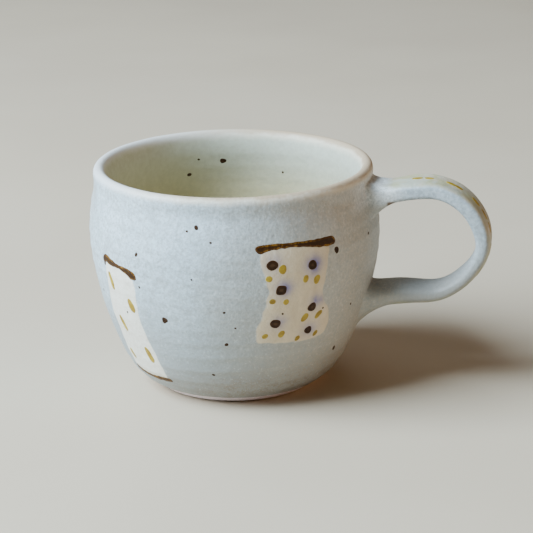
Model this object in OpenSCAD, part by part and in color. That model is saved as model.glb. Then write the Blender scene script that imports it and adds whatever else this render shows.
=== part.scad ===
// Wheel-thrown stoneware mug with a pulled strap handle, painted slip panels and iron speckles.
// Millimetres, +Z up. The origin is the centre of the foot on the table, and +X points to the handle.

/* [Body] */
// Height from the table to the top of the lip
body_h = 70; // [64:1:78]
// Widest diameter over the glaze, at the belly
belly_d = 90.5; // [84:0.5:98]
// Thickness of the clay wall at the belly
wall_t = 3.6; // [3:0.1:4.4]
// Thickness of the clay floor over the hollow of the foot
floor_t = 4.2; // [3.5:0.1:5.5]
// Radius of the rounded lip
lip_r = 1.5; // [1.2:0.1:1.7]

/* [Foot] */
// Outer radius of the flat ring that stands on the table
foot_r = 24.8; // [23:0.2:26]
// Width of the flat ring
foot_ring_w = 5; // [4:0.5:7]
// Depth of the trimmed hollow inside the ring
foot_hollow = 2; // [1:0.25:3]
// Height of the bare clay band above the table
foot_band_h = 3; // [2:0.25:4]

/* [Handle] */
// Reach of the loop from the axis of the mug to its outermost point
handle_reach = 80; // [77:0.2:86]
// Height of the strap's centre line where the loop is highest
handle_top_z = 64.2; // [62:0.2:65]
// Height of the strap's centre line where the loop is lowest
handle_low_z = 31; // [27.6:0.2:33.6]
// Width of the strap at the top of the loop
strap_w = 14; // [11:0.2:15.6]
// Thickness of the strap at the top of the loop
strap_t = 5.2; // [4.2:0.2:6.6]

/* [Coats] */
// Thickness of the glaze
glaze_t = 0.4; // [0.3:0.05:0.6]
// Thickness of the white slip panels on the glaze
slip_t = 0.25; // [0.15:0.05:0.4]
// Thickness of the brushed dots, dashes and speckles
dab_t = 0.25; // [0.15:0.05:0.4]

/* [Decoration] */
// Angle from the handle to the middle of the two panels beside it
near_panel_a = 54; // [48:1:60]
// Angle from the handle to the middle of the two panels opposite it
far_panel_a = 130; // [122:1:138]

/* [Smoothness] */
// Sides of every round solid
round_sides = 128; // [48:16:192]
// Points between two stations of the wall
wall_steps = 4; // [2:1:6]
// Points round the section of the strap
strap_sides = 20; // [12:4:28]

/* [Hidden] */
$fn = round_sides;

// ---- Scale of the shape: the stations below are drawn for a mug of this size ----
drawn_h = 70;
drawn_belly_r = 44.9;
kz = body_h / drawn_h;
kr = (belly_d / 2 - glaze_t) / drawn_belly_r;

// ---- Curves ----
function mix(a, b, f) = a + (b - a) * f;
function reversed(list) = [for (i = [len(list) - 1:-1:0]) list[i]];
function degrees(radians) = radians * 180 / PI;

// A Catmull-Rom curve from the first station up to, but without, the last one
function curve_point(a, b, c, d, f) =
    0.5 * (2 * b + (c - a) * f + (2 * a - 5 * b + 4 * c - d) * f * f
        + (3 * b - a - 3 * c + d) * f * f * f);
function curve(stations, steps) =
    let (last = len(stations) - 1)
    [for (i = [0:last - 1], k = [0:steps - 1])
        let (
            before = i == 0 ? 2 * stations[0] - stations[1] : stations[i - 1],
            after = i == last - 1 ? 2 * stations[last] - stations[last - 1] : stations[i + 2]
        )
        curve_point(before, stations[i], stations[i + 1], after, k / steps)];

// The way a line of points runs at one of them, and the side to the right of it
function run(points, i) =
    let (along = points[min(i + 1, len(points) - 1)] - points[max(i - 1, 0)])
    along / norm(along);
function right_of(dir) = [dir[1], -dir[0]];
function moved(points, distance) =
    [for (i = [0:len(points) - 1]) points[i] + right_of(run(points, i)) * distance];

// ---- Section of the thrown wall, as [radius, height] ----
function sized(stations) = [for (s = stations) [s[0] * kr, s[1] * kz]];
lip_centre_r = 41.2;
lip_centre = [lip_centre_r * kr, body_h - glaze_t - lip_r];
lip_steps = 8;
function lip_arc(radius, from, to) = [
    for (k = [0:lip_steps])
        let (a = mix(from, to, k / lip_steps))
        lip_centre + radius * [cos(a), sin(a)]
];

// Outside, from the edge of the glaze up to the lip
glaze_edge_r = 28.2;
wall = curve(
    concat(
        [[glaze_edge_r * kr, foot_band_h]],
        sized([
            [30.6, 5], [34.4, 10], [37.9, 18], [41.5, 28], [44.1, 39], [44.9, 49.5],
            [43.9, 57.5], [42.5, 63.5]
        ]),
        [lip_centre + [lip_r, 0]]
    ),
    wall_steps
);

// Inside, from the middle of the floor up to the lip. The stations on the wall give the radius
// that the clay would have there if it had no thickness.
floor_z = foot_hollow + floor_t;
floor_stations = [[0, 0], [14, 0.1], [22.8, 1.6]];
wall_stations = [
    [32.7, 12], [37.3, 18], [41.4, 28.5], [44.1, 40], [44.6, 50], [43.3, 59], [42.8, 64]
];
inside = curve(
    concat(
        [for (s = floor_stations) [s[0] * kr, floor_z + s[1]]],
        [for (s = sized(wall_stations)) s - [wall_t, 0]],
        [lip_centre - [lip_r, 0]]
    ),
    wall_steps
);

// Underside and the bare band, from the middle of the foot out to its edge
foot_edge = 0.6;
hollow_edge_w = 3;
hollow_step_w = 1;
hollow_step_share = 0.65;
ring_inner_r = foot_r - foot_ring_w;
underside = [
    [0, foot_hollow],
    [ring_inner_r - hollow_edge_w, foot_hollow],
    [ring_inner_r - hollow_step_w, foot_hollow * hollow_step_share],
    [ring_inner_r, 0],
    [foot_r, 0],
    [foot_r + foot_edge, foot_edge]
];

// Radius of the clay by height, and how fast it grows there
wall_table = [for (p = wall) [p[1], p[0]]];
inside_table = [for (p = inside) [p[1], p[0]]];
slope_reach = 1;
function slope(table, z) =
    (lookup(z + slope_reach, table) - lookup(z - slope_reach, table)) / (2 * slope_reach);

// ---- Centre line of the handle, as [x, z] ----
root_x = 49;
crown_x = 60.5;
upper_droop = 1.9;
lower_droop = 0.9;
// How far the lower outer corner of the loop is drawn in, as a share of its radius
lower_draw_in = 0.048;
arm_steps = 7;
loop_steps = 26;

// The strap is widest at its roots, thinnest on the far side of the loop and thickest at its lower root
width_along = [[0, 1.1], [0.2, 1], [0.5, 0.94], [0.8, 0.91], [1, 1.02]];
thickness_along = [[0, 1.04], [0.2, 1], [0.5, 0.89], [0.68, 0.97], [0.82, 1.13], [1, 1.29]];

loop_rx = handle_reach - strap_t * lookup(0.5, thickness_along) / 2 - crown_x;
loop_rz = (handle_top_z - handle_low_z) / 2;
loop_z = (handle_top_z + handle_low_z) / 2;
function loop_share(a) = a < 0 ? 1 - lower_draw_in * pow(sin(2 * a), 2) : 1;
strap_path = concat(
    [for (k = [0:arm_steps - 1])
        let (f = 1 - k / arm_steps)
        [mix(crown_x, root_x, f), handle_top_z - upper_droop * f * f]],
    [for (k = [0:loop_steps])
        let (a = mix(90, -90, k / loop_steps))
        [crown_x, loop_z] + loop_share(a) * [loop_rx * cos(a), loop_rz * sin(a)]],
    [for (k = [1:arm_steps])
        let (f = k / arm_steps)
        [mix(crown_x, root_x, f), handle_low_z - lower_droop * f * f]]
);
last_ring = len(strap_path) - 1;
function strap_width(i) = strap_w * lookup(i / last_ring, width_along);
function strap_thickness(i) = strap_t * lookup(i / last_ring, thickness_along);

// One ring of the strap: a flat section with soft edges, a superellipse
squareness = 3.5;
function soft(c) = sign(c) * pow(abs(c), 2 / squareness);
function strap_ring(i, inset) =
    let (
        out = -right_of(run(strap_path, i)),
        half_w = strap_width(i) / 2 - inset,
        half_t = strap_thickness(i) / 2 - inset
    )
    [for (k = [0:strap_sides - 1])
        let (
            a = 360 * k / strap_sides,
            p = strap_path[i] + out * half_t * soft(cos(a))
        )
        [p[0], half_w * soft(sin(a)), p[1]]];
function strap_points(inset) = [for (i = [0:last_ring]) each strap_ring(i, inset)];

// The faces between all rings of one skin, whose points start at first
function skin(first, inside_out) = [
    for (i = [0:last_ring - 1], k = [0:strap_sides - 1])
        let (
            n = (k + 1) % strap_sides,
            a = first + i * strap_sides,
            b = a + strap_sides,
            quad = [a + k, a + n, b + n, b + k]
        )
        inside_out ? reversed(quad) : quad
];

// ---- Marks, drawn on the front and mirrored for the back ----
// A panel is [angle round the mug, 1 or -1 for mirrored, how far up it is moved].
front_right = [-near_panel_a, 1, 0];
back_right = [near_panel_a, -1, -1];
front_left = [-far_panel_a, 1, 0];
back_left = [far_panel_a, -1, 1.5];

// Outlines are [across, height], strokes [across, height, width], and
// dabs [across, height, width, length, lean]. Across and lean change sign in a mirror.
function placed(panel, marks) = [
    for (m = marks)
        [for (i = [0:len(m) - 1])
            i == 0 || i == 4 ? m[i] * panel[1] : i == 1 ? (m[i] + panel[2]) * kz : m[i]]
];

near_outline = [
    [-11.4, 54.6], [-11, 50], [-9.4, 44], [-8.8, 41], [-10.4, 33.5], [-11.4, 28.5], [-11, 24.6],
    [-5, 23.7], [1, 23.6], [8.6, 23.4], [11.4, 24.4], [12.4, 27], [11.8, 33], [9.6, 36.2],
    [9, 40], [9.9, 46], [11.2, 54]
];
near_stroke = [
    [-12.3, 54.3, 1.2], [-11.3, 54.5, 2.3], [-7.5, 54.9, 1.4], [-1, 55, 1.3], [5, 54.6, 1.9],
    [11.6, 54.2, 2.5], [13.1, 54.4, 1.4]
];
near_iron = [
    [-7.9, 49.6, 3.3, 3.1, 0], [4.8, 48.2, 2.7, 3, 0], [-5.1, 41.8, 3.3, 3.1, 0],
    [5.4, 34.8, 2.7, 3, -25], [-6, 31, 3.4, 2.8, 0], [5.1, 27.1, 2.4, 2.6, 0]
];
near_ochre = [
    [-4.8, 48.1, 2.2, 2.6, 0], [-8.9, 45.6, 1.7, 1.8, 0], [2.6, 44.3, 1.6, 2.2, -25],
    [6.4, 43.5, 1.9, 2.7, -25], [-7.6, 38.5, 1.7, 1.6, 0], [-3.4, 37.9, 1.5, 1.8, -30],
    [3.3, 31.7, 1.8, 3, -35], [8.1, 31.8, 1.6, 3, -40], [-8.7, 27, 1.4, 1.8, -40],
    [-3.7, 27.2, 1.8, 2.3, -40], [1.7, 24.9, 1.4, 1.7, -35], [7.9, 25.4, 1.3, 1.9, -30]
];

far_outline = [
    [-7.2, 45.4], [-7.1, 36.5], [-8.1, 28.5], [-7.5, 24], [-8, 17.5], [-6.2, 8.6],
    [1, 7.6], [9.2, 8.2], [8.4, 14.7], [7.6, 21], [6.5, 28], [6.9, 36.5], [7, 43.4]
];
far_top_stroke = [
    [-7.4, 43.4, 0.7], [-7, 46, 1.9], [-3.6, 45.5, 2], [0.4, 44.9, 1.2], [3.6, 44.5, 1.7],
    [6.8, 43.4, 2.6], [7.3, 42.2, 1.2]
];
far_low_stroke = [
    [-6.6, 9.2, 1.5], [-4.4, 8.4, 1], [0, 7.8, 1], [4, 7.9, 1.2], [8.2, 8.1, 1.3], [9.3, 8.3, 1]
];
far_dashes = [
    [-4.4, 39.4, 1.1, 5.4, 17], [4.1, 33.3, 1.7, 4.1, 22], [-3, 25.8, 1.2, 5, 18],
    [-4.8, 14.6, 0.9, 3.2, 20], [5.2, 16.9, 1.6, 5.4, 16]
];

// Speckles are [angle round the mug, height, width, length]
wall_speckles = [
    [-92.8, 60.6, 1, 1.4], [-96.4, 59.4, 0.6, 0.6], [-118.4, 50.5, 0.9, 1.3],
    [-107.7, 31.1, 1.9, 1.9], [-94.5, 45.4, 0.5, 0.5], [-82.4, 35.4, 0.7, 0.7],
    [-78.2, 30.2, 0.5, 0.5], [-82, 24.6, 1, 1.1], [-88.9, 13.3, 1, 0.7], [-36.4, 51, 1.5, 2.1],
    [-15, 52, 0.8, 0.8], [-23.6, 31.4, 0.6, 0.8], [-25.6, 16.7, 1, 1.8], [-87, 56.6, 0.6, 0.6],
    [-118.1, 40.4, 0.6, 0.7], [-147.9, 33.7, 0.7, 1], [-164, 48, 1.2, 1.1], [-171, 22, 0.7, 0.8],
    [172, 57, 0.8, 0.9], [166, 36, 1.6, 1.4], [100, 55, 1.1, 1.1], [94, 38, 0.6, 0.6],
    [88, 19, 1.3, 1.1], [103, 27, 0.6, 0.8], [26, 44, 0.9, 1.2], [22, 20, 0.7, 0.7]
];
panel_speckles = [
    [-59.5, 34.1, 0.6, 0.5], [-41.2, 33.6, 0.6, 0.5], [-128.2, 30.6, 0.6, 0.6], [127, 34, 0.6, 0.6]
];
liner_speckles = [
    [107, 60, 1.9, 1.6], [123.5, 56, 1.3, 1.2], [119, 61, 0.7, 0.6], [78, 56.5, 0.7, 0.6],
    [-150, 42, 1, 1], [-60, 35, 1.2, 1.1], [20, 48, 0.8, 0.8], [160, 30, 0.9, 0.9]
];
// Dabs along the crest of the strap are [ring of the strap, length, width]
crest_dabs = [
    [5, 2.4, 1.3], [7, 2.2, 1.1], [10, 2.6, 1.3], [11, 2.4, 1.2], [14, 2.6, 1.6], [16, 3, 1.2],
    [18, 2.8, 1.1], [21, 3.4, 1.1], [25, 2.4, 1.2], [30, 2.6, 1.2], [34, 2.2, 1.1]
];

// ---- Building blocks ----
clay = "#cfc0b4";
iron = "#4a2c17";
ochre = "#a88a2c";
warm_slip = "#e6dcc8";
cool_slip = "#dddad2";
blue_glaze = "#b8c4c9";
olive_glaze = "#b9bba0";

// The whole outside of the clay as one filled solid
module clay_envelope() {
    rotate_extrude()
        polygon(concat(underside, wall, lip_arc(lip_r, 0, 90), [[0, body_h]]));
}

// A coat on the outside, between two distances from the clay
module outer_coat(from, to) {
    rotate_extrude()
        polygon(concat(moved(wall, from), reversed(moved(wall, to))));
}

// Joint clay: a flared collar from the wall to the flat end of the strap
collar_inner_x = 38;
collar_edge = 0.8;
collar_grow = 1;
collar_sides = 32;
module collar(ring, away, foot) {
    dir = run(strap_path, ring) * away;
    hull() {
        translate([strap_path[ring][0], 0, strap_path[ring][1]])
            rotate([0, 90 - atan2(dir[1], dir[0]), 0])
                translate([0, 0, -collar_edge])
                    scale([strap_thickness(ring) + collar_grow, strap_width(ring) + collar_grow, 1])
                        cylinder(d = 1, h = collar_edge, $fn = collar_sides);
        translate([collar_inner_x, 0, foot[0]])
            rotate([0, 90, 0])
                scale([foot[2], foot[1], 1])
                    cylinder(d = 1, h = collar_edge, $fn = collar_sides);
    }
}
// The end of each collar on the wall: the height of its middle, its width and its length up the wall
upper_foot = [60.4 * kz, 21, 15.5];
lower_foot = [26.8 * kz, 19, 16];
module upper_collar() {
    collar(0, 1, upper_foot);
}
module lower_collar() {
    collar(last_ring, -1, lower_foot);
}

// A flat outline pushed through the wall at an angle round the mug
prism_from = 20;
prism_to = 60;
module prism(angle, outline) {
    rotate([0, 0, angle])
        translate([prism_from, 0, 0])
            rotate([90, 0, 90])
                linear_extrude(prism_to - prism_from)
                    polygon(outline);
}

// The outline of a brush stroke of changing width
stroke_steps = 3;
function stroke_outline(stations) =
    let (
        points = concat(curve(stations, stroke_steps), [stations[len(stations) - 1]]),
        line = [for (p = points) [p[0], p[1]]],
        sides = [for (s = [-0.5, 0.5])
            [for (i = [0:len(line) - 1]) line[i] + right_of(run(line, i)) * s * points[i][2]]]
    )
    concat(sides[0], reversed(sides[1]));

module strokes(panel, list) {
    color(iron)
        for (stations = list)
            intersection() {
                outer_coat(glaze_t, glaze_t + slip_t + dab_t);
                prism(panel[0], stroke_outline(placed(panel, stations)));
            }
}

module slip(panel, outline, over) {
    difference() {
        intersection() {
            outer_coat(glaze_t, glaze_t + slip_t);
            prism(panel[0], placed(panel, outline));
        }
        for (stations = over)
            prism(panel[0], stroke_outline(placed(panel, stations)));
    }
}

// A thin oval dab of glaze colour, lying just above its own XY plane
dab_gap = 0.05;
dab_sides = 24;
module dab(length, width, lean) {
    translate([0, 0, dab_gap])
        rotate([0, 0, lean])
            linear_extrude(dab_t)
                polygon([
                    for (k = [0:dab_sides - 1])
                        let (a = 360 * k / dab_sides)
                        [length * cos(a), width * sin(a)] / 2
                ]);
}

// Places a dab on a surface of revolution, facing out (1) or in (-1), above coats of a thickness
module on_surface(table, facing, coats, angle, z) {
    rotate([0, 0, angle])
        translate([lookup(z, table), 0, z])
            rotate([0, 90 * facing + atan(slope(table, z)), 0])
                translate([0, 0, coats])
                    children();
}

module panel_dabs(panel, list) {
    for (d = placed(panel, list)) {
        angle = panel[0] + degrees(d[0] / lookup(d[1], wall_table));
        on_surface(wall_table, 1, glaze_t + slip_t, angle, d[1])
            dab(d[3], d[2], d[4]);
    }
}

module speckles(table, facing, coats, list) {
    color(iron)
        for (s = list)
            on_surface(table, facing, coats, s[0], s[1] * kz)
                dab(s[3], s[2], 0);
}

// ---- Sub-parts ----
module thrown_body() {
    color(clay)
        rotate_extrude()
            polygon(concat(underside, wall, lip_arc(lip_r, 0, 180), reversed(inside)));
}

module pulled_handle() {
    first_end = reversed([for (k = [0:strap_sides - 1]) k]);
    last_end = [for (k = [0:strap_sides - 1]) last_ring * strap_sides + k];
    color(clay)
        polyhedron(strap_points(glaze_t), concat(skin(0, false), [first_end, last_end]));
}

module upper_joint_clay() {
    color(blue_glaze)
        difference() {
            upper_collar();
            clay_envelope();
        }
}

module lower_joint_clay() {
    color(blue_glaze)
        difference() {
            lower_collar();
            clay_envelope();
        }
}

module outer_glaze() {
    color(blue_glaze)
        difference() {
            rotate_extrude()
                polygon(concat(
                    wall, lip_arc(lip_r, 0, 90),
                    lip_arc(lip_r + glaze_t, 90, 0), reversed(moved(wall, glaze_t))
                ));
            upper_collar();
            lower_collar();
        }
}

module liner_glaze() {
    color(olive_glaze)
        rotate_extrude()
            polygon(concat(
                inside, lip_arc(lip_r, 180, 90),
                lip_arc(lip_r + glaze_t, 90, 180), reversed(moved(inside, -glaze_t))
            ));
}

module handle_glaze() {
    outer = strap_points(0);
    first = len(outer);
    end = last_ring * strap_sides;
    rims = [
        for (k = [0:strap_sides - 1])
            let (n = (k + 1) % strap_sides)
            each [
                [k, first + k, first + n, n],
                [end + n, first + end + n, first + end + k, end + k]
            ]
    ];
    color(blue_glaze)
        polyhedron(
            concat(outer, strap_points(glaze_t)),
            concat(skin(0, false), skin(first, true), rims)
        );
}

module front_right_slip() {
    color(warm_slip) slip(front_right, near_outline, [near_stroke]);
}
module back_right_slip() {
    color(warm_slip) slip(back_right, near_outline, [near_stroke]);
}
module front_left_slip() {
    color(cool_slip) slip(front_left, far_outline, [far_top_stroke, far_low_stroke]);
}
module back_left_slip() {
    color(cool_slip) slip(back_left, far_outline, [far_top_stroke, far_low_stroke]);
}

module front_right_stroke() { strokes(front_right, [near_stroke]); }
module back_right_stroke() { strokes(back_right, [near_stroke]); }
module front_left_strokes() { strokes(front_left, [far_top_stroke, far_low_stroke]); }
module back_left_strokes() { strokes(back_left, [far_top_stroke, far_low_stroke]); }

module front_right_iron_dots() { color(iron) panel_dabs(front_right, near_iron); }
module back_right_iron_dots() { color(iron) panel_dabs(back_right, near_iron); }
module front_right_ochre_dots() { color(ochre) panel_dabs(front_right, near_ochre); }
module back_right_ochre_dots() { color(ochre) panel_dabs(back_right, near_ochre); }
module front_left_ochre_dashes() { color(ochre) panel_dabs(front_left, far_dashes); }
module back_left_ochre_dashes() { color(ochre) panel_dabs(back_left, far_dashes); }

module handle_ochre_dabs() {
    color(ochre)
        for (d = crest_dabs) {
            dir = run(strap_path, d[0]);
            translate([strap_path[d[0]][0], 0, strap_path[d[0]][1]])
                rotate([0, -atan2(dir[1], dir[0]), 0])
                    translate([0, 0, strap_thickness(d[0]) / 2])
                        dab(d[1], d[2], 0);
        }
}

module outer_iron_speckles() {
    speckles(wall_table, 1, glaze_t, wall_speckles);
    speckles(wall_table, 1, glaze_t + slip_t, panel_speckles);
}
module liner_iron_speckles() {
    speckles(inside_table, -1, glaze_t, liner_speckles);
}

thrown_body();
pulled_handle();
upper_joint_clay();
lower_joint_clay();
outer_glaze();
liner_glaze();
handle_glaze();
front_right_slip();
front_left_slip();
back_right_slip();
back_left_slip();
front_right_stroke();
front_left_strokes();
back_right_stroke();
back_left_strokes();
front_right_iron_dots();
back_right_iron_dots();
front_right_ochre_dots();
back_right_ochre_dots();
front_left_ochre_dashes();
back_left_ochre_dashes();
handle_ochre_dabs();
outer_iron_speckles();
liner_iron_speckles();
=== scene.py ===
"""A hand-thrown stoneware mug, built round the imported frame. Metres, +Z up, handle towards +X.

The turned clay, its glaze coats and the pulled handle are read off the CAD solids by casting rays at them,
then given the unevenness of hand work. Slip panels and brush marks are patches, cut to the outline of their
CAD solid and laid on the finished coat under them.
"""

import math

import bmesh
import bpy
import numpy as np
from mathutils import Matrix, Vector, geometry
from mathutils.bvhtree import BVHTree


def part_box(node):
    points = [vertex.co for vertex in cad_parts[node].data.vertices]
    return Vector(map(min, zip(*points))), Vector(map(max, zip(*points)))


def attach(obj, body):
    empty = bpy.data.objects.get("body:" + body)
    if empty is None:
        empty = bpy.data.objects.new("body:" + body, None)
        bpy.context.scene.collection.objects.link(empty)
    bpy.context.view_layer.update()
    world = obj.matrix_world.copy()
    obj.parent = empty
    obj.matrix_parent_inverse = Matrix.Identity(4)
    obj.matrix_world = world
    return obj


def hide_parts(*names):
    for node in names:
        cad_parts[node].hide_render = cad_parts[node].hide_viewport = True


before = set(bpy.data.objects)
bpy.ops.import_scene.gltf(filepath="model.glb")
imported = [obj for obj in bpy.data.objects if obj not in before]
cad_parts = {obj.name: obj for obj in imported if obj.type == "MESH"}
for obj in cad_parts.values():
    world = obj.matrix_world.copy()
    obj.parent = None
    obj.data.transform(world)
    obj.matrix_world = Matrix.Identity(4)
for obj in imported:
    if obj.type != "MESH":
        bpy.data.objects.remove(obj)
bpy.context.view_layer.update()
MM = 0.001
FAR = 0.2  # outside the mug on any side, where rays start
UP = Vector((0, 0, 1))


# ---- Reading the frame ----
def tree_of(*objects):
    """One tree for ray casts over the meshes of several objects."""
    points, faces = [], []
    for o in objects:
        first = len(points)
        points += [v.co.copy() for v in o.data.vertices]
        faces += [[first + i for i in p.vertices] for p in o.data.polygons]
    return BVHTree.FromPolygons(points, faces)


def hit(tree, start, along):
    """The point where a ray first meets a surface, and the normal there."""
    place, normal, _, _ = tree.ray_cast(Vector(start), Vector(along))
    return place, normal


body_tree = tree_of(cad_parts["thrown_body"])
strap_tree = tree_of(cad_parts["handle_glaze"])
coat_low, coat_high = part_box("outer_glaze")
_, clay_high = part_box("thrown_body")
GLAZE_T = coat_high.z - clay_high.z
EDGE_Z = coat_low.z
MUG_H = coat_high.z


def clay_radius(z):
    """Outer radius of the clay, read opposite the handle."""
    return -hit(body_tree, (-FAR, 0, z), (1, 0, 0))[0].x


def bore_radius(z):
    """Inner radius of the clay, read opposite the handle."""
    return -hit(body_tree, (0, 0, z), (-1, 0, 0))[0].x


# ---- Lines of points in a plane ----
def spaced(path, step):
    """The same line with its points a step apart."""
    lengths = np.concatenate([[0], np.cumsum(np.linalg.norm(np.diff(path, axis=0), axis=1))])
    count = max(2, round(lengths[-1] / step) + 1)
    at = np.linspace(0, lengths[-1], count)
    return np.stack([np.interp(at, lengths, path[:, k]) for k in range(path.shape[1])], axis=1)


def softened(path, reach, closed=False):
    """The same line with its corners rounded over a number of points."""
    offsets = np.arange(-2 * reach, 2 * reach + 1)
    weights = np.exp(-0.5 * (offsets / reach) ** 2)
    weights /= weights.sum()
    pad = 2 * reach
    if closed:
        longer = np.concatenate([path[-pad:], path, path[:pad]])
    else:
        before = 2 * path[0] - path[pad:0:-1]
        after = 2 * path[-1] - path[-2:-pad - 2:-1]
        longer = np.concatenate([before, path, after])
    columns = [np.convolve(longer[:, k], weights, "valid") for k in range(path.shape[1])]
    return np.stack(columns, axis=1)


def normals_of(path):
    """Unit normals to the right of a line's run."""
    run = np.gradient(path, axis=0)
    run /= np.linalg.norm(run, axis=1)[:, None]
    return np.stack([run[:, 1], -run[:, 0]], axis=1)


def smooth(x):
    """Smooth step from 0 at x = 0 to 1 at x = 1."""
    x = np.clip(x, 0, 1)
    return x * x * (3 - 2 * x)


def ramp(x, start, end):
    """Smooth step from 0 at the start to 1 at the end."""
    return smooth((x - start) / (end - start))


def rounded(share):
    """Height of a quarter round, from 0 at its foot to 1 at its top."""
    return np.sqrt(1 - (1 - share) ** 2)


# ---- The section of the clay, from the middle of the underside round to the middle of the floor ----
PATH_STEP = 0.5 * MM
CORNER_REACH = 2  # points
LIP_PASSES = 8
UNDER_RAYS, WALL_RAYS, LIP_POINTS, BOWL_RAYS = 120, 150, 25, 260
BOWL_EYE_Z = 45 * MM
# Small steps that keep a ray off the axis, off the edge of the glaze and off the plumb line
OFF_AXIS, OFF_EDGE, OFF_PLUMB = 1e-6, 1e-5, 1e-4

lip_half = 2 * MM  # a first guess, which the passes settle
for _ in range(LIP_PASSES):
    lip_z = clay_high.z - lip_half
    lip_half = (clay_radius(lip_z) - bore_radius(lip_z)) / 2
lip_z = clay_high.z - lip_half
lip_r = (clay_radius(lip_z) + bore_radius(lip_z)) / 2
under_r = np.linspace(OFF_AXIS, clay_radius(EDGE_Z) - OFF_EDGE, UNDER_RAYS)

under = [(r, hit(body_tree, (-r, 0, -FAR), UP)[0].z) for r in under_r]
wall = [(clay_radius(z), z) for z in np.linspace(EDGE_Z, lip_z, WALL_RAYS)]
lip = [
    (lip_r + lip_half * math.cos(a), lip_z + lip_half * math.sin(a))
    for a in np.linspace(0, math.pi, LIP_POINTS)[1:-1]
]
bowl = []
lip_angle = math.atan2(lip_z - BOWL_EYE_Z, lip_r - lip_half)
for a in np.linspace(lip_angle, -math.pi / 2 + OFF_PLUMB, BOWL_RAYS):
    place, _ = hit(body_tree, (0, 0, BOWL_EYE_Z), (-math.cos(a), 0, math.sin(a)))
    bowl.append((-place.x, place.z))

SECTION = softened(spaced(np.array(under + wall + lip + bowl), PATH_STEP), CORNER_REACH)
SECTION[0, 0] = SECTION[-1, 0] = 0
SECTION_N = normals_of(SECTION)
top_i = int(SECTION[:, 1].argmax())
edge_i = int(np.flatnonzero(SECTION[:top_i, 1] < EDGE_Z)[-1])
last_i = len(SECTION) - 1


# ---- Unevenness of hand work ----
class Waves:
    """A smooth random relief round the mug: a sum of waves that close on themselves."""

    def __init__(self, seed, count, most_round, longest, shortest):
        rng = np.random.default_rng(seed)
        self.round = rng.integers(0, most_round + 1, count)
        self.rate = rng.choice([-1, 1], count) * 2 * math.pi / rng.uniform(shortest, longest, count)
        self.phase = rng.uniform(0, 2 * math.pi, count)
        self.scale = math.sqrt(2 / count)

    def __call__(self, angle, along):
        total = 0
        for m, q, p in zip(self.round, self.rate, self.phase):
            total = total + np.cos(m * angle + q * along + p)
        return total * self.scale


lumps = Waves(seed=11, count=26, most_round=6, longest=60 * MM, shortest=18 * MM)
dimples = Waves(seed=12, count=40, most_round=26, longest=14 * MM, shortest=5 * MM)
drift = Waves(seed=13, count=8, most_round=2, longest=80 * MM, shortest=40 * MM)
LUMP_DEPTH, DIMPLE_DEPTH = 0.085 * MM, 0.012 * MM
# Throwing rings, how far their depth and place drift, and where round the mug the drift of the depth is read
RING_PITCH, RING_DEPTH, DEPTH_DRIFT, PLACE_DRIFT, DEPTH_PHASE = 4.4 * MM, 0.030 * MM, 0.022 * MM, 1.6, 2
# A fainter ring between each two
SECOND_RING, SECOND_PHASE = 0.35, 1
# The share of their depth that rings have inside the cup, and the share they gain low on the outside
INSIDE_RINGS, LOW_RINGS = 0.75, 1.9
# Heights over which each of these comes in or goes out
RINGS_IN, RINGS_OUT = (2 * MM, 8 * MM), (MUG_H - 7 * MM, MUG_H - 2 * MM)
LOW_RINGS_OUT, DIMPLES_IN = (16 * MM, 30 * MM), (0.4 * MM, 1.6 * MM)


def relief(angle, along, z):
    """How far the thrown surface stands out, by angle, distance along the section and height."""
    on_wall = ramp(z, *RINGS_IN) * (1 - ramp(z, *RINGS_OUT))
    turn = 2 * math.pi * (along / RING_PITCH) + angle + PLACE_DRIFT * drift(angle, along)
    rings = np.cos(turn) + SECOND_RING * np.cos(2 * turn + SECOND_PHASE)
    depth = RING_DEPTH + DEPTH_DRIFT * np.clip(drift(angle + DEPTH_PHASE, along), -1, 1)
    low_down = 1 - ramp(z, *LOW_RINGS_OUT)
    depth = depth * np.where(along > top_i * PATH_STEP, INSIDE_RINGS, 1 + LOW_RINGS * low_down)
    fine = DIMPLE_DEPTH * ramp(z, *DIMPLES_IN) * dimples(angle, along)
    return on_wall * (rings * depth + LUMP_DEPTH * lumps(angle, along)) + fine


# Waves round the rim, each with its height, its count round the mug and its phase
OUT_OF_ROUND = ((0.20 * MM, 2, -0.8), (0.10 * MM, 3, 1.9))
OUT_OF_LEVEL = ((0.10 * MM, 2, 0.7), (0.42 * MM, 1, 0.4 - math.pi / 2))
RIM_DROP = 0.02 * MM  # keeps the top of the rim near the height of the CAD
RIM_WOBBLE_IN = 30 * MM, MUG_H + 5 * MM
FLAT_SIDE, FLAT_DEPTH = math.radians(212), 0.6 * MM
FLAT_IN, FLAT_OUT = (14 * MM, 36 * MM), (48 * MM, 66 * MM)


def round_the_rim(angle, waves):
    return sum(height * np.cos(count * angle + phase) for height, count, phase in waves)


def wobbled(r, z, angle):
    """The rim is a little out of round and out of level, one side of the belly is flatter, and the foot
    is true."""
    share = ramp(z, *RIM_WOBBLE_IN)
    belly = ramp(z, *FLAT_IN) * (1 - ramp(z, *FLAT_OUT))
    flat_side = np.clip(np.cos(angle - FLAT_SIDE), 0, 1) ** 2
    r = r + share * round_the_rim(angle, OUT_OF_ROUND) - FLAT_DEPTH * flat_side * belly
    z = z + share * (round_the_rim(angle, OUT_OF_LEVEL) - RIM_DROP)
    return r, z


# ---- Meshes ----
SAME_POINT, NO_LENGTH = 1e-7, 1e-8


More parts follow.
